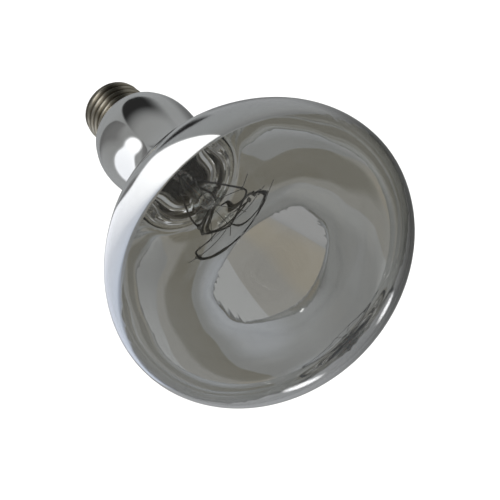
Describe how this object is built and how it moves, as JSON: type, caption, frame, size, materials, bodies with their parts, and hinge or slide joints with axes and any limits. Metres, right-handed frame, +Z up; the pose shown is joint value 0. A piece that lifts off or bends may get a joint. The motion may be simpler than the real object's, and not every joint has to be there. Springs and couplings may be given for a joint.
{
  "type": "reflector heat lamp bulb",
  "caption": "Infra-red heat lamp bulb: blown glass reflector with mirrored neck and bowl, clear domed front, coiled filament on a glass stem, and a screw cap",
  "frame": {"origin": "centre of the flat end of the cap's centre contact", "axes": "the lamp's axis lies along Y: the cap's contact faces +Y and the clear front faces -Y; +Z is up and +X is to the right of someone facing +Y"},
  "size_m": [0.125, 0.176, 0.125],
  "materials": {
    "clear_glass": "polished, clear",
    "stem_glass": "polished, clear",
    "mirror_film": "bright mirror film",
    "nickel_cap": "dull nickel plate",
    "black_glass": "glossy black glass insulator",
    "brass_contact": "satin brass",
    "solder": "dull tin solder",
    "cement": "matt cement",
    "tungsten": "dark drawn tungsten",
    "molybdenum_wire": "satin drawn wire",
    "nickel_wire": "satin drawn wire",
    "seal_metal": "copper-clad seal wire",
    "copper_wire": "bright copper wire",
    "fuse_metal": "thin drawn wire"
  },
  "bodies": {
    "root": {"glass_bulb": "clear_glass", "reflector_coating": "mirror_film", "cap_shell": "nickel_cap", "cap_insulator": "black_glass", "centre_contact": "brass_contact", "contact_solder": "solder", "side_solder": "solder", "cap_cement": "cement", "stem_flare": "stem_glass", "stem_press": "stem_glass", "exhaust_tube": "stem_glass", "arbor_rod": "stem_glass", "support_button": "stem_glass", "support_wires": "molybdenum_wire", "filament_coil": "tungsten", "inner_lead_a": "nickel_wire", "inner_lead_b": "nickel_wire", "filament_clamp_a": "nickel_wire", "filament_clamp_b": "nickel_wire", "seal_wire_a": "seal_metal", "seal_wire_b": "seal_metal", "outer_lead_contact": "copper_wire", "outer_lead_shell": "copper_wire", "fuse_link": "fuse_metal"}
  },
  "joints": []
}
